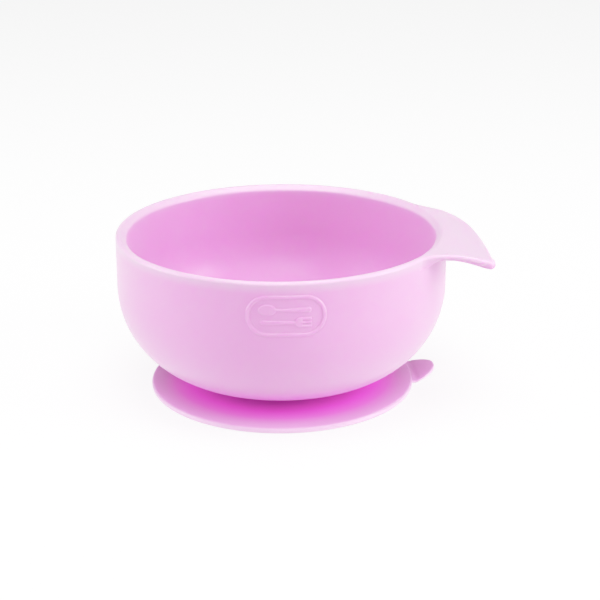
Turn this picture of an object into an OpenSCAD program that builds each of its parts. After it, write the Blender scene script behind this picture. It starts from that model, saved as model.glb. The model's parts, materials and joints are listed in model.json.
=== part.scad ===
// Suction bowl for a baby: a soft silicone bowl with a side grip, standing on
// a flexible suction base that holds it to a table.
//
// Frame: +Z up, origin on the table top and on the bowl's axis, +X towards the
// grip and the pull tab, -Y towards the front, where the raised emblem is.
// The bowl and its grip are one moulding.  The suction base is a second
// moulding, pressed into a socket in the bowl's foot.  The base is drawn as
// four zones: a stiff hub, a thin skirt that flexes, a lip that seals on the
// table, and a tab that is pulled up to let the air in.

/* [Bowl] */
// Outer radius of the bowl at the rim
bowl_r = 60; // [56:0.5:64]
// Height of the rim above the table
rim_z = 59.5; // [58:0.5:66]
// Thickness of the upright wall
wall_t = 3.9; // [3:0.1:5]
// Distance that the rim's top slopes down towards the inside
rim_slope = 1.5; // [0.5:0.1:2.5]
// Radius of the outer curve from the wall to the underside
outer_curve_r = 34.6; // [33:0.1:36]
// Height of the flat underside above the table
underside_z = 7.5; // [7:0.1:8]
// Thickness of the floor inside the bowl
floor_t = 4; // [3.6:0.1:6]

/* [Grip] */
// Radius of the grip's curved outer edge
grip_edge_r = 78; // [74:1:82]
// Furthest reach of the grip from the bowl's axis
grip_reach = 74; // [72:0.5:76]
// Distance of the grip's front edge in front of the axis
grip_front = 33.3; // [31:0.1:34]
// Angle at which the front edge sweeps forward towards the tip
grip_sweep = 7; // [2:1:9]
// Thickness of the grip where it leaves the wall
grip_root_t = 2.4; // [2:0.1:3]
// Thickness of the grip at its tip
grip_tip_t = 3.2; // [2.6:0.1:3.6]
// Distance that the tip dips below the rim
grip_dip = 1.3; // [0.8:0.1:2]

/* [Emblem] */
// Width of the raised frame on the front wall
emblem_w = 27; // [22:0.5:30]
// Height of the raised frame
emblem_h = 14.4; // [12:0.2:15]
// Width of the raised border line
emblem_border = 1.1; // [0.8:0.1:1.4]
// Height of the relief above the wall
emblem_relief = 0.4; // [0.2:0.05:0.6]

/* [Suction base] */
// Outer radius of the sealing lip
lip_r = 48.8; // [48:0.1:50]
// Inner radius of the sealing lip
lip_inner_r = 40; // [38:0.5:41]
// Thickness of the lip
lip_t = 2; // [1.8:0.1:2.2]
// Radius of the hub under the bowl
hub_r = 20; // [17:0.5:24]
// Height of the hub's underside above the table
hub_bottom_z = 4; // [3.6:0.1:4.4]
// Thickness of the skirt where it meets the hub
skirt_t = 2; // [1.6:0.1:2.2]
// Radius of the plug that is pressed into the bowl's foot
plug_r = 9; // [7:0.5:12]
// Depth of the plug's socket in the bowl's foot
plug_h = 2.5; // [2:0.1:2.8]

/* [Pull tab] */
// Direction of the tab from the axis, turned back from +X
tab_angle = 5; // [0:1:10]
// Length of the tab beyond its fold line
tab_length = 8.6; // [8:0.2:10]
// Half of the tab's width at the fold line
tab_half_w = 9.8; // [9:0.2:11]
// Thickness of the tab
tab_t = 1.7; // [1.5:0.1:1.9]
// Angle at which the tab rises from its fold line
tab_rise = 17; // [8:1:20]

/* [Hidden] */
$fn = 96;

silicone = [0.94, 0.74, 0.90];
silicone_base = [0.90, 0.60, 0.84];
slack = 1;                              // extra length of a cutting body
curve_z = underside_z + 32.7;           // centre height of the wall's curves
floor_z = underside_z + floor_t;        // height of the inner floor
inner_r = bowl_r - wall_t;              // radius inside the upright wall
inner_curve_r = curve_z - floor_z;      // inner curve, tangent to the floor
rim_round = 1;                          // radius of both edges of the rim
grip_top = rim_z - 0.2;                 // the grip is flush with the rim
grip_edge_y = 7 - grip_front;           // centre of the grip's outer arc
grip_root_x = 39;                       // the grip starts inside the wall
grip_sweep_y = grip_front * cos(grip_sweep) - 6.2;
grip_far = 95;                          // size of the body that cuts the grip
emblem_x = 1.4;                         // centre of the emblem
emblem_z = rim_z - 11.6;
emblem_depth = 3;                       // how far the relief starts inside
fold_x = lip_r + 0.2;                   // fold line, just outside the lip
foot_inner_r = lip_inner_r + 1;         // footprint of the skirt on the lip
foot_outer_r = lip_inner_r + 4.5;
tab_blunt = 1.6;                        // higher is a blunter tip
tab_steps = 12;                         // points along each side of the tab

// ---------------------------------------------------------------- shapes

// Half section of a round-bottomed vessel, open at the top.
module vessel_section(radius, curve_r, floor_height, top) {
    translate([0, curve_z])
        square([radius, top - curve_z]);
    translate([0, floor_height])
        square([radius - curve_r, curve_z - floor_height]);
    intersection() {
        translate([radius - curve_r, curve_z])
            circle(curve_r);
        translate([0, floor_height])
            square([radius, curve_z - floor_height]);
    }
}

// Outline of a flat bar with round ends, centred on the origin.
module pill(width, height) {
    square([width - height, height], center = true);
    for (side = [-1, 1])
        translate([side * (width - height) / 2, 0])
            circle(height / 2);
}

// Half section of the bowl's wall, floor and rim, without the socket.
module wall_section() {
    outer = [bowl_r - rim_round, rim_z - rim_round];
    inner = [inner_r + rim_round, outer[1] - rim_slope];
    run = norm(outer - inner);
    up = [inner[1] - outer[1], outer[0] - inner[0]] * rim_round / run;
    difference() {
        vessel_section(bowl_r, outer_curve_r, underside_z, inner[1]);
        vessel_section(inner_r, inner_curve_r, floor_z, rim_z + slack);
    }
    polygon([
        [inner_r, inner[1]],
        inner + up,
        outer + up,
        outer + [rim_round, 0],
        [bowl_r, inner[1]]
    ]);
    for (edge = [inner, outer])
        translate(edge)
            circle(rim_round);
}

// ------------------------------------------------------------------ bowl

// Plan of the grip: a fin between the rim, an outer arc and a front edge.
module grip_plan() {
    root_r = bowl_r - wall_t / 2;
    difference() {
        intersection() {
            translate([grip_reach - grip_edge_r, grip_edge_y])
                circle(grip_edge_r);
            rotate(-grip_sweep)
                translate([grip_root_x, -grip_sweep_y])
                    square(grip_far);
        }
        circle(root_r);
    }
}

// Side view of the grip: it thickens and dips towards its tip.
module grip_side() {
    tip_top = grip_top - grip_dip;
    polygon([
        [bowl_r - 25, grip_top],
        [bowl_r + 2, grip_top],
        [grip_reach + slack, tip_top],
        [grip_reach + slack, tip_top - grip_tip_t],
        [bowl_r, grip_top - grip_root_t],
        [bowl_r - 25, grip_top - grip_root_t]
    ]);
}

module grip() {
    intersection() {
        translate([0, 0, rim_z - 12])
            linear_extrude(12)
                grip_plan();
        translate([0, bowl_r, 0])
            rotate([90, 0, 0])
                linear_extrude(2 * bowl_r)
                    grip_side();
    }
}

// A spoon and a fork lying head to tail, as plain silhouettes.
module cutlery() {
    translate([0, 2]) {
        translate([-6.2, 0])
            circle(1.9);
        translate([1.2, 0])
            pill(14, 1.1);
    }
    translate([0, -2.4]) {
        translate([-1.6, 0])
            pill(13.4, 1.1);
        translate([4.6, -1.6])
            square([1.6, 3.2]);
        for (tine = [-1.15, 0, 1.15])
            translate([6.6, tine])
                pill(3, 0.8);
    }
}

// Raised emblem on the front wall: a plain frame round the cutlery.
module emblem() {
    intersection() {
        translate([0, 0, emblem_z - emblem_h])
            cylinder(r = bowl_r + emblem_relief, h = 2 * emblem_h);
        translate([emblem_x, emblem_depth - bowl_r, emblem_z])
            rotate([90, 0, 0])
                linear_extrude(emblem_depth + slack) {
                    difference() {
                        pill(emblem_w, emblem_h);
                        pill(emblem_w - 2 * emblem_border, emblem_h - 2 * emblem_border);
                    }
                    cutlery();
                }
    }
}

module bowl() {
    color(silicone)
        difference() {
            union() {
                rotate_extrude()
                    wall_section();
                grip();
                emblem();
            }
            translate([0, 0, underside_z - slack])
                cylinder(r = plug_r, h = plug_h + slack);
        }
}

// ---------------------------------------------------------- suction base

module suction_hub() {
    color(silicone_base) {
        translate([0, 0, hub_bottom_z])
            cylinder(r = hub_r, h = underside_z - hub_bottom_z);
        translate([0, 0, underside_z])
            cylinder(r = plug_r, h = plug_h);
    }
}

module suction_skirt() {
    skirt_z = hub_bottom_z + 0.4;
    color(silicone_base)
        rotate_extrude()
            polygon([
                [foot_inner_r, lip_t],
                [foot_outer_r, lip_t],
                [hub_r, skirt_z + skirt_t],
                [hub_r, skirt_z]
            ]);
}

// Half width of the tab at a distance beyond the fold line.
function tab_half(x) = tab_half_w * sqrt(1 - pow(x / tab_length, tab_blunt));

// Plan of the tab, with its fold line on the Y axis.
module tab_plan() {
    along = [for (i = [0:tab_steps]) tab_length * (1 - pow(1 - i / tab_steps, 2))];
    polygon(concat(
        [for (x = along) [x, tab_half(x)]],
        [for (i = [tab_steps - 1:-1:0]) [along[i], -tab_half(along[i])]]
    ));
}

// Ring that seals on the table, with a short root for the pull tab.
module sealing_lip() {
    edge_r = lip_t / 2;
    color(silicone_base) {
        rotate_extrude() {
            polygon([
                [lip_inner_r, lip_t],
                [lip_inner_r, lip_t / 2],
                [lip_inner_r + 1.5, 0],
                [lip_r - edge_r, 0],
                [lip_r - edge_r, lip_t]
            ]);
            translate([lip_r - edge_r, edge_r])
                circle(edge_r);
        }
        rotate(tab_angle)
            translate([lip_r - 4, -tab_half_w, 0])
                cube([fold_x - lip_r + 4, 2 * tab_half_w, lip_t]);
    }
}

// Side view of the tab: a strip that rises from the fold line.
module tab_side() {
    rise = tab_length * tan(tab_rise);
    polygon([
        [0, lip_t - tab_t],
        [tab_length + slack, lip_t - tab_t + rise],
        [tab_length + slack, lip_t + rise],
        [0, lip_t]
    ]);
}

module pull_tab() {
    color(silicone_base)
        rotate(tab_angle)
            translate([fold_x, 0, 0])
                intersection() {
                    linear_extrude(lip_t + tab_length)
                        tab_plan();
                    translate([0, tab_half_w + slack, 0])
                        rotate([90, 0, 0])
                            linear_extrude(2 * (tab_half_w + slack))
                                tab_side();
                }
}

bowl();
suction_hub();
suction_skirt();
sealing_lip();
pull_tab();
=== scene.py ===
"""Looks of the suction bowl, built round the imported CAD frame.

The bowl, its grip and its emblem are one seamless skin.  The suction base is
four skins: a hub and a skirt under the bowl, the lip on the table and the tab.
Shapes are worked out in millimetres, and piece_of() makes them in metres.
"""
import json
import math

import bpy
import numpy as np
from mathutils import Matrix, Vector


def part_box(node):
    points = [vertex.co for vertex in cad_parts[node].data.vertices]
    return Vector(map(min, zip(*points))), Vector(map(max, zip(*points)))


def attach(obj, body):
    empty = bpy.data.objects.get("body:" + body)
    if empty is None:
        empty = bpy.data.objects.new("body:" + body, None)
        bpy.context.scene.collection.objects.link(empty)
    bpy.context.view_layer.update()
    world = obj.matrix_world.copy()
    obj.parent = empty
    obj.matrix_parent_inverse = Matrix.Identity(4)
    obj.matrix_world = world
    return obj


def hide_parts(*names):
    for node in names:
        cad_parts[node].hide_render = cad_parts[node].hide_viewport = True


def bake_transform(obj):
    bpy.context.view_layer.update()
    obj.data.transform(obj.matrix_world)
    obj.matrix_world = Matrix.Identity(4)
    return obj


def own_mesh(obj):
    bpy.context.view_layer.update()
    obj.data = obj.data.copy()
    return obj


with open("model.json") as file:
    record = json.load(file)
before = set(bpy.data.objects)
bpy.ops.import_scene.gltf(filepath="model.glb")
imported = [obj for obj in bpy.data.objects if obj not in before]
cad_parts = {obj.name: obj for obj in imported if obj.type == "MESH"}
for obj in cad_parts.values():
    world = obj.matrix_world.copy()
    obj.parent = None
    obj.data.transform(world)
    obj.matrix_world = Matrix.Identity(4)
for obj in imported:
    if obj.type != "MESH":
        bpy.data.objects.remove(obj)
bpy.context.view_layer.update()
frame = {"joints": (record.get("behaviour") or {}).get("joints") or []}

MM = 0.001

# ------------------------------------------------------------- sizes, in mm


def box_mm(node):
    """Lowest and highest corner of a CAD node, in millimetres."""
    low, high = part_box(node)
    return np.array(low) / MM, np.array(high) / MM


BOWL_LOW, BOWL_HIGH = box_mm("bowl")
LIP_LOW, LIP_HIGH = box_mm("sealing_lip")
HUB_LOW, HUB_HIGH = box_mm("suction_hub")
SKIRT_HIGH = box_mm("suction_skirt")[1]
JOINTS = {joint["name"]: joint for joint in frame["joints"]}

BOWL_R = -BOWL_LOW[0]
RIM_Z = BOWL_HIGH[2]
UNDERSIDE_Z = BOWL_LOW[2]

# Section of the bowl.
WALL_T = 3.9
FLOOR_T = 4.0
OUTER_CURVE_R = 34.6
CURVE_RISE = 32.7        # the curve's middle above the foot, which cuts its lowest part off
FOOT_EASE = 0.35         # how softly the curve runs into the foot
CURVE_Z = UNDERSIDE_Z + CURVE_RISE
FLOOR_Z = UNDERSIDE_Z + FLOOR_T
INNER_R = BOWL_R - WALL_T
RIM_CREST = 1.2          # from the outer wall in to the highest line of the rim
RIM_SLOPE = 1.6          # the rim's top slopes down this far towards the inside
RIM_INNER_EDGE = 1.2     # rounding of the rim's inner edge

# The grip.
GRIP_ROOT_T = 2.1
GRIP_TIP_T = 3.2
GRIP_DIP = 1.3
GRIP_REACH = 13.0        # from the wall to where the dip is complete
GRIP_EDGE = 0.5          # rounding of its upper edge, as a share of its thickness
GRIP_UNDER_EDGE = 0.42
GRIP_FILLET = 1.2        # between its underside and the wall
GRIP_MERGE = 4.0         # how far out the rim's edge has turned into the grip's
RIM_SECTION = 4.3        # depth of the rim's band where there is no grip

# Plan of the grip, from behind, round the tip, to the front.  The back and the end are (angle in
# degrees, distance from the axis), the tip and the front (x, y).
GRIP_BACK = (
    (41, BOWL_R), (37, BOWL_R), (33, BOWL_R), (29, 60.7), (25, 62.3), (20, 65.0), (14, 67.7),
    (8, 69.5), (0.6, 70.9), (-7.2, 72.7), (-15.7, 75.8), (-22.2, 79.3),
)
GRIP_TIP = ((73.9, -32.6), (73.6, -34.6), (72.3, -36.0), (70.2, -35.9))
GRIP_FRONT = ((66.0, -34.3), (61.0, -33.2), (57.0, -32.7), (54.4, -32.6), (52.3, -33.0))
GRIP_END = ((-35, BOWL_R), (-38, BOWL_R))

# The suction base.
LIP_R = -LIP_LOW[0]
LIP_T = LIP_HIGH[2]
LIP_INNER_R = 40.0
SKIRT_FOOT_R = 44.5      # where the skirt meets the top of the lip
SKIRT_EASE = 9.0         # width over which it steepens
SKIRT_SINK = 0.3         # how far its upper end goes into the hub
HUB_R = HUB_HIGH[0]
HUB_Z = HUB_LOW[2]
PLUG_R = 9.0
PLUG_TOP_Z = HUB_HIGH[2]
PLUG_GAP = 0.02          # keeps the hub's faces apart from the bowl's

# The pull tab.
TAB_LENGTH = 8.6
TAB_HALF_W = 9.8
TAB_T = 1.8
TAB_BLUNT = 1.6          # 2 would make its outline an ellipse, and 1 a parabola
TAB_RISE = 17            # degrees
TAB_ROOT = -2.2          # its first strip, inside the lip
TAB_SINK = 0.15          # how far its root lies below the top of the lip
TAB_TIP = 0.9            # length over which its tip is rounded

# The emblem on the front wall.
EMBLEM_ANGLE = -88.7
EMBLEM_Z = RIM_Z - 11.6
EMBLEM_W = 27.0
EMBLEM_H = 14.4
EMBLEM_BORDER = 1.1
EMBLEM_RELIEF = 0.36
EMBLEM_SLOPE = 0.30      # width of the slanted edge of the relief
SPOON_V = 2.1            # height of the spoon and of the fork in the emblem
FORK_V = -2.3
TINE_GAP = 1.32


def smooth(t):
    """Eases from 0 to 1 as t goes from 0 to 1."""
    t = np.clip(t, 0.0, 1.0)
    return t * t * (3 - 2 * t)


# ----------------------------------------------------------- plane geometry


def arc(centre, radius, start, end, count):
    """Points of an arc, angles in degrees."""
    a = np.radians(np.linspace(start, end, count))
    return np.stack([centre[0] + radius * np.cos(a), centre[1] + radius * np.sin(a)], 1)


def lengths(path):
    """Distance along a path to each of its points."""
    steps = np.linalg.norm(np.diff(path, axis=0), axis=1)
    return np.concatenate([[0.0], np.cumsum(steps)])


def at_lengths(path, wanted):
    """Points of a path at the given distances along it."""
    along = lengths(path)
    return np.stack([np.interp(wanted, along, axis) for axis in path.T], 1)


def even(path, count):
    """A path drawn again with evenly spaced points."""
    return at_lengths(path, np.linspace(0, lengths(path)[-1], count))


def rounded(corners, spacing=0.6, arc_points=9):
    """A polyline with filleted corners; each corner is (r, z, fillet radius)."""
    pts = [np.array(c[:2], float) for c in corners]
    path = [pts[0]]
    for before, here, after, corner in zip(pts, pts[1:], pts[2:], corners[1:-1]):
        into = (here - before) / np.linalg.norm(here - before)
        out = (after - here) / np.linalg.norm(after - here)
        turn = math.acos(float(np.clip(into @ out, -1, 1)))
        if corner[2] <= 0 or turn < 1e-3:
            path.append(here)
            continue
        reach = corner[2] * math.tan(turn / 2)
        middle = out - into
        middle = middle / np.linalg.norm(middle)
        centre = here + middle * corner[2] / math.cos(turn / 2)
        first = here - into * reach
        for step in np.linspace(0, turn, arc_points):
            away = (first - centre) / corner[2]
            path.append(centre + corner[2] * (away * math.cos(step) + into * math.sin(step)))
    path.append(pts[-1])
    path = np.array(path)
    pieces = [path[:1]]
    for a, b in zip(path, path[1:]):
        parts = max(1, math.ceil(np.linalg.norm(b - a) / spacing))
        pieces.append(a + (b - a) * np.linspace(0, 1, parts + 1)[1:, None])
    return np.concatenate(pieces)


def spline(points, per_span=60):
    """A smooth curve through the points (centripetal Catmull-Rom)."""
    p = np.array(points, float)
    p = np.concatenate([[2 * p[0] - p[1]], p, [2 * p[-1] - p[-2]]])
    out = []
    for a, b, c, d in zip(p, p[1:], p[2:], p[3:]):
        k = np.cumsum([0.0] + [math.sqrt(np.linalg.norm(v - u)) for u, v in ((a, b), (b, c), (c, d))])
        t = np.linspace(k[1], k[2], per_span, endpoint=False)[:, None]
        ab = ((k[1] - t) * a + (t - k[0]) * b) / (k[1] - k[0])
        bc = ((k[2] - t) * b + (t - k[1]) * c) / (k[2] - k[1])
        cd = ((k[3] - t) * c + (t - k[2]) * d) / (k[3] - k[2])
        abc = ((k[2] - t) * ab + (t - k[0]) * bc) / (k[2] - k[0])
        bcd = ((k[3] - t) * bc + (t - k[1]) * cd) / (k[3] - k[1])
        out.append(((k[2] - t) * abc + (t - k[1]) * bcd) / (k[2] - k[1]))
    return np.concatenate(out + [p[-2:-1]])


# ------------------------------------------------------------------- meshes


def piece_of(name, points, faces, material):
    """A smooth closed piece whose faces look outwards, from points in millimetres."""
    verts = points * MM
    fans = [(face[0], a, b) for face in faces for a, b in zip(face[1:], face[2:])]
    first, second, third = verts[np.array(fans)].transpose(1, 0, 2)
    mesh = bpy.data.meshes.new(name)
    mesh.from_pydata(verts.tolist(), [], faces)
    if (first * np.cross(second, third)).sum() < 0:
        mesh.flip_normals()
    mesh.polygons.foreach_set("use_smooth", [True] * len(faces))
    mesh.update()
    piece = bpy.data.objects.new(name, mesh)
    bpy.context.scene.collection.objects.link(piece)
    mesh.materials.append(material)
    return piece


def skin(name, columns, material):
    """A closed mesh from columns of points that all start and end at two poles."""
    columns = np.asarray(columns, float)
    count, rows = columns.shape[0], columns.shape[1] - 2
    body = columns[:, 1:-1].reshape(-1, 3)
    points = np.concatenate([body, [columns[:, 0].mean(0), columns[:, -1].mean(0)]])
    first, last = count * rows, count * rows + 1
    faces = []
    for i in range(count):
        a, b = i * rows, (i + 1) % count * rows
        faces.append((first, b, a))
        faces += [(a + k, b + k, b + k + 1, a + k + 1) for k in range(rows - 1)]
        faces.append((a + rows - 1, b + rows - 1, last))
    return piece_of(name, points, faces, material)


def ring_skin(name, columns, material):
    """A closed ring: every column is a closed loop of points."""
    count, rows = columns.shape[:2]
    faces = []
    for i in range(count):
        a, b = i * rows, (i + 1) % count * rows
        faces += [(a + k, a + (k + 1) % rows, b + (k + 1) % rows, b + k) for k in range(rows)]
    return piece_of(name, columns.reshape(-1, 3), faces, material)


def turned(section, count=220):
    """Columns of a section (r, z) turned round the bowl's axis."""
    a = np.radians(np.linspace(0, 360, count, endpoint=False))
    r, z = section[:, 0], section[:, 1]
    return np.stack([np.outer(np.cos(a), r), np.outer(np.sin(a), r), np.tile(z, (count, 1))], 2)


# ----------------------------------------------------------- bowl and grip


def plan_of(polar):
    """Points (x, y) of a list of (angle in degrees, distance from the axis)."""
    return [(r * math.cos(math.radians(a)), r * math.sin(math.radians(a))) for a, r in polar]


def grip_columns(count=170):
    """Root angle, outline point and inward normal of each column that carries the grip.

    The outline runs from behind, round the tip, to the front.  Columns crowd where it bends, and
    their roots are spread along the rim rather than bunched under the tip.
    """
    crowding = 2.2
    own_share = 0.55
    line = spline([*plan_of(GRIP_BACK), *GRIP_TIP, *GRIP_FRONT, *plan_of(GRIP_END)])
    along = np.gradient(line, axis=0)
    along /= np.linalg.norm(along, axis=1)[:, None]
    inward = np.stack([along[:, 1], -along[:, 0]], 1)
    inward *= np.sign((inward * -line).sum(1)[0])
    bend = np.linalg.norm(np.gradient(along, axis=0), axis=1)
    steps = np.linalg.norm(np.diff(line, axis=0), axis=1) + crowding * bend[1:]
    measure = np.concatenate([[0.0], np.cumsum(steps)])
    wanted = np.linspace(0, measure[-1], count)
    own = np.unwrap(np.arctan2(line[:, 1], line[:, 0]))
    far = lengths(line)
    spread = own[0] + (own[-1] - own[0]) * far / far[-1]
    root = own_share * own + (1 - own_share) * spread
    table = np.column_stack([root, line, inward])
    table = np.stack([np.interp(wanted, measure, column) for column in table.T], 1)
    normals = table[:, 3:] / np.linalg.norm(table[:, 3:], axis=1)[:, None]
    return table[:, 0], table[:, 1:3], normals


def bowl_columns():
    """Root angle, outline point and inward normal of every column, once round the bowl.

    After the grip's columns come those of the wall: coarse, fine over the emblem, and coarse.
    """
    roots, points, normals = grip_columns()
    first, last = math.degrees(roots[0]), math.degrees(roots[-1])
    half = math.degrees(EMBLEM_W / 2 / BOWL_R) + 1
    stops = [last, EMBLEM_ANGLE + half, EMBLEM_ANGLE - half, first - 360]
    wall = [np.linspace(a, b, count)[:-1] for a, b, count in zip(stops, stops[1:], (34, 150, 130))]
    a = np.radians(np.concatenate(wall)[1:])
    ring = np.stack([np.cos(a), np.sin(a)], 1)
    return (
        np.concatenate([roots, a]),
        np.concatenate([points, ring * BOWL_R]),
        np.concatenate([normals, -ring]),
    )


def inner_section():
    """Section (r, z) from the middle of the floor up to the crest of the rim."""
    curve_r = CURVE_Z - FLOOR_Z
    crest = BOWL_R - RIM_CREST
    edge_z = RIM_Z - RIM_SLOPE
    wall_top = edge_z - 4
    floor = np.linspace([0, FLOOR_Z], [INNER_R - curve_r, FLOOR_Z], 26)[:-1]
    bend = arc((INNER_R - curve_r, CURVE_Z), curve_r, -90, 0, 46)[:-1]
    wall = np.linspace([INNER_R, CURVE_Z], [INNER_R, wall_top], 22)[:-1]
    top = rounded([
        (INNER_R, wall_top, 0), (INNER_R, edge_z, RIM_INNER_EDGE),
        (crest - 0.6, RIM_Z, 1.6), (crest, RIM_Z, 0),
    ], spacing=0.4)
    return np.concatenate([floor, bend, wall, even(top, 24)])


def under_section():
    """Section (r, z) from the foot of the upright wall to the roof of the plug's socket."""
    centre_r = BOWL_R - OUTER_CURVE_R
    bend = arc((centre_r, CURVE_Z), OUTER_CURVE_R, 0, -90, 160)
    bend[:, 1] = UNDERSIDE_Z + FOOT_EASE * np.logaddexp(0, (bend[:, 1] - UNDERSIDE_Z) / FOOT_EASE)
    foot = rounded([
        (centre_r, bend[-1, 1], 0), (PLUG_R, UNDERSIDE_Z, 0.3),
        (PLUG_R, PLUG_TOP_Z, 0.2), (0, PLUG_TOP_Z, 0),
    ], spacing=1.5)
    return np.concatenate([even(bend, 64), foot[1:]])


def grip_height(x):
    """Height of the grip's top at a place in plan: it dips towards the tip."""
    return RIM_Z - GRIP_DIP * smooth((x - BOWL_R) / GRIP_REACH)


def grip_thickness(x):
    """Thickness of the grip at a place in plan: it grows towards the tip."""
    return GRIP_ROOT_T + (GRIP_TIP_T - GRIP_ROOT_T) * np.clip((x - BOWL_R) / GRIP_REACH, 0, 1)


def row(plan, z):
    """A point from its place in plan and its height."""
    return np.concatenate([plan, [z]])


def quarter(count):
    """Angles of a quarter turn, without its start."""
    return np.radians(np.linspace(0, 90, count)[1:])


def band(root, point, normal):
    """Rim crest, over the edge of the rim or grip, and back to the wall.

    Gives the points, the index where each stretch ends, and how far the rim has turned into the
    grip here, from 0 to 1.
    """
    ray = np.array([math.cos(root), math.sin(root)])
    out = max(0.0, float(np.linalg.norm(point)) - BOWL_R)
    share = float(smooth(out / GRIP_MERGE))
    thickness = float(grip_thickness(point[0]))
    edge = RIM_CREST + (GRIP_EDGE * thickness - RIM_CREST) * share
    under_edge = min(GRIP_UNDER_EDGE * thickness, 0.4 * out)
    fillet = min(GRIP_FILLET, 0.4 * out)
    tip_z = RIM_Z + (float(grip_height(point[0])) - RIM_Z) * share
    low = tip_z - (RIM_SECTION + (thickness - RIM_SECTION) * share)
    root_low = RIM_Z - (RIM_SECTION + (GRIP_ROOT_T + 0.1 - RIM_SECTION) * share)

    crest = ray * (BOWL_R - RIM_CREST)
    inner = point + normal * edge
    below = point + normal * under_edge
    wall = ray * (BOWL_R + fillet)
    stretches = [
        [row(crest + (inner - crest) * k, RIM_Z + (tip_z - RIM_Z) * smooth(k))
         for k in np.linspace(0, 1, 24)],
        [row(inner - normal * edge * math.sin(a), tip_z - edge * (1 - math.cos(a)))
         for a in quarter(16)],
        [row(point, z) for z in np.linspace(tip_z - edge, low + under_edge, 6)[1:]],
        [row(point + normal * under_edge * (1 - math.cos(a)), low + under_edge * (1 - math.sin(a)))
         for a in quarter(12)],
        [row(below + (wall - below) * k, low + (root_low - low) * k)
         for k in np.linspace(0, 1, 20)[1:]],
        [row(ray * (BOWL_R + fillet * (1 - math.sin(a))), root_low - fillet * (1 - math.cos(a)))
         for a in quarter(14)],
    ]
    ends = np.cumsum([len(stretch) for stretch in stretches]) - 1
    return np.array(sum(stretches, [])), ends, share


BAND_ROWS = (16, 12, 3, 7, 12, 10)       # rows given to each stretch of the band
WALL_ROWS = 84                           # rows of the wall below it


def band_rows(root, point, normal):
    """The band drawn again with the same number of rows in every column."""
    path, ends, share = band(root, point, normal)
    far = lengths(path)
    stops = np.concatenate([[0.0], far[ends]])
    fitted = [0.0]
    for start, stop, rows in zip(stops, stops[1:], BAND_ROWS):
        fitted += list(np.linspace(start, stop, rows + 1)[1:])
    plain = np.linspace(0, far[-1], len(fitted))
    wanted = plain + (np.array(fitted) - plain) * share
    return at_lengths(path, wanted)


# ------------------------------------------------------------------ emblem


def capsule(u, v, a, b, radius_a, radius_b):
    """Signed distance to a bar with round ends whose radius changes from a to b."""
    ax, ay = b[0] - a[0], b[1] - a[1]
    t = np.clip(((u - a[0]) * ax + (v - a[1]) * ay) / (ax * ax + ay * ay), 0, 1)
    return np.hypot(u - a[0] - ax * t, v - a[1] - ay * t) - (radius_a + (radius_b - radius_a) * t)


def oval(u, v, centre, half_w, half_h):
    """Signed distance, near enough, to an ellipse."""
    x, y = (u - centre[0]) / half_w, (v - centre[1]) / half_h
    size = np.hypot(x, y)
    slope = np.hypot(x / half_w, y / half_h)
    return size * (size - 1) / np.maximum(slope, 1e-6)


def emblem_relief(u, v):
    """Height of the relief, in mm, at a place on the wall measured from the emblem's centre."""
    half_bar = EMBLEM_W / 2 - EMBLEM_H / 2
    ring = np.abs(capsule(u, v, (-half_bar, 0), (half_bar, 0), EMBLEM_H / 2, EMBLEM_H / 2)
                  + EMBLEM_BORDER / 2) - EMBLEM_BORDER / 2
    spoon = np.minimum(oval(u, v, (-6.3, SPOON_V), 2.9, 1.9),
                       capsule(u, v, (-3.6, SPOON_V), (7.6, SPOON_V), 0.42, 0.78))
    fork = np.minimum(capsule(u, v, (-7.9, FORK_V), (3.4, FORK_V), 0.78, 0.42),
                      np.maximum(oval(u, v, (5.0, FORK_V), 2.1, 1.75), u - 5.4))
    for tine in (FORK_V - TINE_GAP, FORK_V, FORK_V + TINE_GAP):
        fork = np.minimum(fork, capsule(u, v, (5.0, tine), (8.2, tine), 0.40, 0.30))
    distance = np.minimum(np.minimum(ring, spoon), fork)
    return EMBLEM_RELIEF * smooth(0.5 - distance / EMBLEM_SLOPE)


def build_bowl(material):
    """The bowl with its rim, grip and emblem as one skin."""
    roots, points, normals = bowl_columns()
    inner, under = inner_section(), under_section()
    centre_u = math.radians(EMBLEM_ANGLE)
    columns = []
    for root, point, normal in zip(roots, points, normals):
        ray = np.array([math.cos(root), math.sin(root)])
        rim = band_rows(root, point, normal)
        heights = np.linspace(rim[-1, 2], CURVE_Z, WALL_ROWS)[1:]
        offset = math.remainder(root - centre_u, 2 * math.pi) * BOWL_R
        r = BOWL_R + emblem_relief(np.full(len(heights), offset), heights - EMBLEM_Z)
        wall = np.column_stack([np.outer(r, ray), heights])
        inside = np.column_stack([np.outer(inner[:-1, 0], ray), inner[:-1, 1]])
        below = np.column_stack([np.outer(under[1:, 0], ray), under[1:, 1]])
        columns.append(np.concatenate([inside, rim, wall, below]))
    return skin("bowl_shell", columns, material)


# ------------------------------------------------------------ suction base


def build_hub(material):
    """Stiff middle of the base, with the plug that holds it in the bowl's foot."""
    hollow_z = HUB_Z + 0.6
    top_z = UNDERSIDE_Z - PLUG_GAP
    plug_r, plug_z = PLUG_R - PLUG_GAP, PLUG_TOP_Z - PLUG_GAP
    section = rounded([
        (0, hollow_z, 0), (HUB_R - 6, hollow_z, 2), (HUB_R - 4, HUB_Z, 0.8), (HUB_R, HUB_Z, 0.5),
        (HUB_R, top_z, 0.3), (plug_r, top_z, 0.2), (plug_r, plug_z, 0.4), (0, plug_z, 0),
    ])
    return skin("base_hub", turned(section, 160), material)


def skirt_top(r):
    """Height of the skirt's upper side: it grows out of the lip and steepens into the cone.

    Further out than its foot it sinks into the lip at a tiny angle.
    """
    run = SKIRT_FOOT_R - r
    slope = (SKIRT_HIGH[2] - LIP_T) / (SKIRT_FOOT_R - HUB_R - SKIRT_EASE / 2)
    eased = np.where(run < SKIRT_EASE, run * run / (2 * SKIRT_EASE), run - SKIRT_EASE / 2)
    return LIP_T + np.where(run > 0, slope * eased, 0.05 * run)


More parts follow.
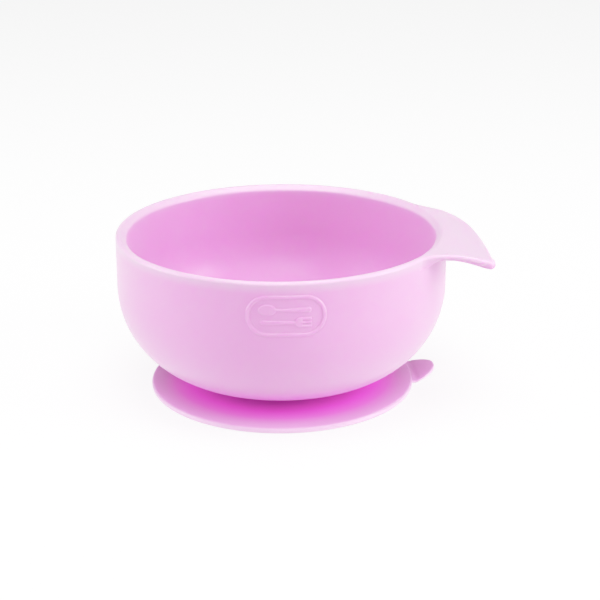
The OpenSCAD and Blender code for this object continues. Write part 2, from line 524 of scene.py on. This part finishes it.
def build_skirt(material):
    """Thin cone that flexes when the bowl is pressed down; both its ends are sunk in."""
    inner_r = HUB_R - SKIRT_SINK
    r = np.linspace(SKIRT_FOOT_R + 1.5, inner_r, 60)
    upper = np.column_stack([r, skirt_top(r)])
    lower = np.linspace([inner_r, HUB_Z + 0.4], [LIP_INNER_R + 1, LIP_T], 30)[1:-1]
    heel = [[LIP_INNER_R + 1.5, LIP_T - 0.2]]
    return ring_skin("base_skirt", turned(np.concatenate([upper, lower, heel])), material)


def build_lip(material):
    """Ring that lies on the table and seals."""
    inner = LIP_INNER_R
    loop = rounded([
        (SKIRT_FOOT_R, LIP_T, 0), (LIP_R, LIP_T, 0.95), (LIP_R, 0, 0.75), (inner + 1.5, 0, 0.5),
        (inner, LIP_T / 2, 0.3), (inner, LIP_T, 0.3), (SKIRT_FOOT_R, LIP_T, 0),
    ], spacing=0.5)
    return ring_skin("base_lip", turned(loop[:-1], 240), material)


def build_tab(material):
    """Pull tab: flat strips across it, from inside the lip to its round tip."""
    hinge = JOINTS["tab_lift"]["pos_m"]
    angle = math.atan2(hinge[1], hinge[0])
    fold = math.hypot(hinge[0], hinge[1]) / MM
    direction = np.array([math.cos(angle), math.sin(angle)])
    side = np.array([-direction[1], direction[0]])
    rise = math.tan(math.radians(TAB_RISE))

    # Once round the section of a strip: a square with soft corners, from -1 to 1 each way.
    ring = np.linspace(0, 2 * math.pi, 72, endpoint=False)
    across = np.sign(np.cos(ring)) * np.abs(np.cos(ring)) ** 0.42
    upright = np.sign(np.sin(ring)) * np.abs(np.sin(ring)) ** 0.67

    t = np.linspace(0, 1, 46)
    reaches = TAB_ROOT + (TAB_LENGTH - TAB_ROOT) * (1 - (1 - t) ** 2)
    columns = np.zeros((len(ring), len(reaches), 3))
    for k, reach in enumerate(reaches):
        past = max(0.0, reach)
        half_w = TAB_HALF_W * math.sqrt(1 - min(1.0, past / TAB_LENGTH) ** TAB_BLUNT)
        end = min(1.0, max(0.0, TAB_LENGTH - reach) / TAB_TIP)
        half_t = TAB_T / 2 * math.sqrt(max(0.0, 1 - (1 - end) ** 2))
        if k == 0:
            half_w, half_t = 0.0, 0.0
        middle = LIP_T - TAB_SINK - TAB_T / 2 + rise * past * float(smooth((reach + 1) / 3))
        columns[:, k, :2] = (fold + reach) * direction + np.outer(across * half_w, side)
        columns[:, k, 2] = middle + upright * half_t
    return skin("base_tab", columns, material), direction, fold


# ---------------------------------------------------------------- materials

PINK = (0.70, 0.355, 0.625)
PALE_PINK = (0.71, 0.37, 0.635)
# Painted highlight: the rim's top and the grip are paled, as if lit from above.
RIM_PAINTED_HIGHLIGHT = (0.68, 0.45, 0.64)
# Painted shade: the bowl's foot, above the base, is deepened as if in shadow.
SHADED_PINK = (0.88, 0.30, 0.82)
# Painted shade: the middle of the base, in the gap under the bowl, is deepened as if in shadow.
BASE_PAINTED_SHADE = (0.94, 0.13, 0.80)
# Painted light: the lip's outer edge and the tab are paled, as if brightly lit.
LIP_PAINTED_LIGHT = (0.82, 0.52, 0.77)
TABLE_GREY = (0.2, 0.2, 0.2, 1)
TABLE_GLOW = 0.93
WHITE = (1, 1, 1, 1)


def node_of(tree, kind, **values):
    """A shader node with some of its sockets set."""
    node = tree.nodes.new(kind)
    for key, value in values.items():
        node.inputs[key.replace("_", " ")].default_value = value
    return node


def mix_of(tree, factor, first, second):
    """Mixes two colours; each is a plain colour or the output of a node."""
    mix = tree.nodes.new("ShaderNodeMix")
    mix.data_type = "RGBA"
    for value, key in ((first, "A"), (second, "B")):
        if isinstance(value, tuple):
            mix.inputs[key].default_value = (*value, 1)
        else:
            tree.links.new(value, mix.inputs[key])
    tree.links.new(factor, mix.inputs["Factor"])
    return mix.outputs["Result"]


def ramp_of(tree, value, start, stop, low=0.0, high=1.0):
    """Goes evenly from low to high as the value goes from start to stop, and no further."""
    ramp = node_of(tree, "ShaderNodeMapRange", From_Min=start, From_Max=stop, To_Min=low, To_Max=high)
    tree.links.new(value, ramp.inputs["Value"])
    return ramp.outputs["Result"]


def new_material(name):
    """A material, with its node tree and its shader."""
    material = bpy.data.materials.new(name)
    material.use_nodes = True
    return material, material.node_tree, material.node_tree.nodes["Principled BSDF"]


def silicone(name, painted_shading, along, scatter):
    """Soft satin silicone: light passes a little way in, and the surface is slightly uneven.

    The colours in the list, each with a start and a stop, paint light and shade into the
    silicone: towards the foot of the bowl and the middle of the base the colour deepens as
    painted shade, and towards the rim, the grip and the thin edge of the lip it pales as painted
    light.  along is "out" from the axis or "up" from the table, and start and stop are metres
    that way.  scatter is how much light passes in.
    """
    material, tree, shader = new_material(name)
    links = tree.links
    place = tree.nodes.new("ShaderNodeTexCoord").outputs["Object"]

    # How far a place is, out or up.
    flat = tree.nodes.new("ShaderNodeVectorMath")
    flat.operation = "MULTIPLY"
    flat.inputs[1].default_value = (1, 1, 0) if along == "out" else (0, 0, 1)
    links.new(place, flat.inputs[0])
    far = tree.nodes.new("ShaderNodeVectorMath")
    far.operation = "LENGTH"
    links.new(flat.outputs["Vector"], far.inputs[0])

    #     A faint cloud in the colour and the gloss, then the painted light and shade.
    cloud = node_of(tree, "ShaderNodeTexNoise", Scale=38.0, Detail=3.0)
    links.new(place, cloud.inputs["Vector"])
    colour = mix_of(tree, cloud.outputs["Fac"], PINK, PALE_PINK)
    for painted_tone, start, stop in painted_shading:
        share = ramp_of(tree, far.outputs["Value"], start, stop)
        colour = mix_of(tree, share, colour, painted_tone)
    links.new(colour, shader.inputs["Base Color"])
    gloss = ramp_of(tree, cloud.outputs["Fac"], 0.0, 1.0, 0.27, 0.36)
    links.new(gloss, shader.inputs["Roughness"])

    # A fine grain on the surface.
    grain = node_of(tree, "ShaderNodeTexNoise", Scale=900.0, Detail=2.0)
    links.new(place, grain.inputs["Vector"])
    bump = node_of(tree, "ShaderNodeBump", Strength=0.04, Distance=0.0002)
    links.new(grain.outputs["Fac"], bump.inputs["Height"])
    links.new(bump.outputs["Normal"], shader.inputs["Normal"])

    shader.inputs["IOR"].default_value = 1.46
    shader.inputs["Subsurface Weight"].default_value = scatter
    shader.inputs["Subsurface Radius"].default_value = (1.0, 0.45, 0.85)
    shader.inputs["Subsurface Scale"].default_value = 0.0012
    shader.inputs["Sheen Weight"].default_value = 0.22
    shader.inputs["Sheen Roughness"].default_value = 0.6
    return material


def lit_table(name):
    """White sheet with some light of its own, so that shadows on it stay pale; clear from below."""
    material, tree, shader = new_material(name)
    clear = tree.nodes.new("ShaderNodeBsdfTransparent")
    sided = tree.nodes.new("ShaderNodeMixShader")
    tree.links.new(tree.nodes.new("ShaderNodeNewGeometry").outputs["Backfacing"], sided.inputs[0])
    tree.links.new(shader.outputs["BSDF"], sided.inputs[1])
    tree.links.new(clear.outputs["BSDF"], sided.inputs[2])
    tree.links.new(sided.outputs["Shader"], tree.nodes["Material Output"].inputs["Surface"])
    shader.inputs["Base Color"].default_value = TABLE_GREY
    shader.inputs["Roughness"].default_value = 1.0
    shader.inputs["Specular IOR Level"].default_value = 0.0
    shader.inputs["Emission Color"].default_value = WHITE
    shader.inputs["Emission Strength"].default_value = TABLE_GLOW
    return material


# -------------------------------------------------------------------- stage

FLOOR_HALF = 6.0
FLOOR_DROP = 0.05 * MM   # below the lip, so that light reaches the sealing face
SKY_LIGHT = 0.2
SKY_SEEN = 0.93          # how bright the sky is to the camera, so that it matches the floor

# Lamps: name, place in metres, width, height and watts.
LAMP_TARGET = (0, 0, 0.03)
LAMPS = (
    ("right", (0.76, -0.2, 0.3), 0.4, 0.6, 5.1),
    ("left", (-0.77, -0.06, 0.27), 0.6, 0.5, 3.4),
    ("top", (0.0, 0.0, 0.95), 0.8, 0.8, 8.7),
    ("front", (0.0, -0.74, 0.68), 0.9, 0.5, 4.4),
)

# Tone curve: brightness of the light, and the brightness that is shown.
WHITE_LEVEL = 2.0
SHOULDER = (
    (0.4, 0.4), (0.7, 0.7), (0.82, 0.785), (0.92, 0.845), (1.0, 0.89), (1.12, 0.95), (1.25, 1.0),
)

CAMERA_PLACE = (0, -0.55645, 0.23402)
CAMERA_YAW = 0.694       # degrees to the right, down and over
CAMERA_PITCH = 19.97
CAMERA_ROLL = -0.242
LENS = 96.2


def build_stage():
    """A wide pale floor, a hair below the lip."""
    mesh = bpy.data.meshes.new("floor")
    corners = [(-1, -1), (1, -1), (1, 1), (-1, 1)]
    mesh.from_pydata([(x * FLOOR_HALF, y * FLOOR_HALF, 0) for x, y in corners], [], [(0, 1, 2, 3)])
    floor = bpy.data.objects.new("floor", mesh)
    floor.location.z = -FLOOR_DROP
    bpy.context.scene.collection.objects.link(floor)
    mesh.materials.append(lit_table("lit_table"))


def soft_light(name, place, width, height, watts):
    """A large soft lamp at place, aimed at the bowl."""
    data = bpy.data.lights.new(name, "AREA")
    data.shape = "RECTANGLE"
    data.size, data.size_y = width, height
    data.energy = watts
    lamp = bpy.data.objects.new(name, data)
    lamp.location = place
    ahead = Vector(LAMP_TARGET) - Vector(place)
    lamp.rotation_euler = ahead.to_track_quat("-Z", "Y").to_euler()
    bpy.context.scene.collection.objects.link(lamp)


def build_lights():
    """A dim even sky and the lamps."""
    world = bpy.data.worlds.new("studio")
    bpy.context.scene.world = world
    world.use_nodes = True
    tree = world.node_tree
    sky = tree.nodes["Background"]
    sky.inputs["Color"].default_value = WHITE
    seen = tree.nodes.new("ShaderNodeLightPath").outputs["Is Camera Ray"]
    strength = ramp_of(tree, seen, 0.0, 1.0, SKY_LIGHT, SKY_SEEN)
    tree.links.new(strength, sky.inputs["Strength"])
    for lamp in LAMPS:
        soft_light(*lamp)


def set_exposure():
    """Plain colours with a soft shoulder, so that bright silicone pales instead of clipping."""
    view = bpy.context.scene.view_settings
    view.view_transform = "Standard"
    view.use_curve_mapping = True
    mapping = view.curve_mapping
    mapping.white_level = (WHITE_LEVEL, WHITE_LEVEL, WHITE_LEVEL)
    all_channels = mapping.curves[3]
    for bright, shown in SHOULDER:
        all_channels.points.new(bright / WHITE_LEVEL, shown)
    mapping.update()


def build_camera():
    """A long lens in front of the bowl, looking slightly down on it."""
    yaw, pitch, roll = (math.radians(a) for a in (CAMERA_YAW, CAMERA_PITCH, CAMERA_ROLL))
    level = Vector((math.cos(yaw), -math.sin(yaw), 0))
    ahead = Vector((math.sin(yaw), math.cos(yaw), 0)) * math.cos(pitch)
    ahead.z = -math.sin(pitch)
    over = level.cross(ahead)
    right = level * math.cos(roll) + over * math.sin(roll)
    up = over * math.cos(roll) - level * math.sin(roll)
    data = bpy.data.cameras.new("camera")
    data.sensor_width = 36
    data.lens = LENS
    data.clip_start, data.clip_end = 0.02, 20
    camera = bpy.data.objects.new("camera", data)
    turn = Matrix((right, up, -ahead)).transposed().to_4x4()
    camera.matrix_world = Matrix.Translation(CAMERA_PLACE) @ turn
    bpy.context.scene.collection.objects.link(camera)
    bpy.context.scene.camera = camera


# ----------------------------------------------------------------- assembly

build_camera()
build_stage()
build_lights()
set_exposure()

# Painted shade deepens the bowl's foot and the middle of the base; painted light pales the rim, the
# grip, the lip's edge and the tab.
bowl_painted_shading = [(SHADED_PINK, 0.016, 0.009), (RIM_PAINTED_HIGHLIGHT, 0.0555, 0.0583)]
base_painted_shading = [(BASE_PAINTED_SHADE, 0.0455, 0.036), (LIP_PAINTED_LIGHT, 0.0405, 0.0485)]
bowl_silicone = silicone("bowl_silicone", bowl_painted_shading, "up", 0.8)
base_silicone = silicone("base_silicone", base_painted_shading, "out", 0.0)

shell = build_bowl(bowl_silicone)
hub = build_hub(base_silicone)
skirt = build_skirt(base_silicone)
lip = build_lip(base_silicone)
tab, tab_direction, fold = build_tab(base_silicone)

for piece, body, node, slot in (
    (shell, "bowl", "bowl", "bowl_silicone"),
    (hub, "bowl", "suction_hub", "base_silicone"),
    (skirt, "base", "suction_skirt", "base_silicone"),
    (lip, "base", "sealing_lip", "base_silicone"),
    (tab, None, "pull_tab", "base_silicone"),
):
    if body:
        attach(piece, body)
    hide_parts(node)

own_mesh(skirt)
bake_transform(tab)
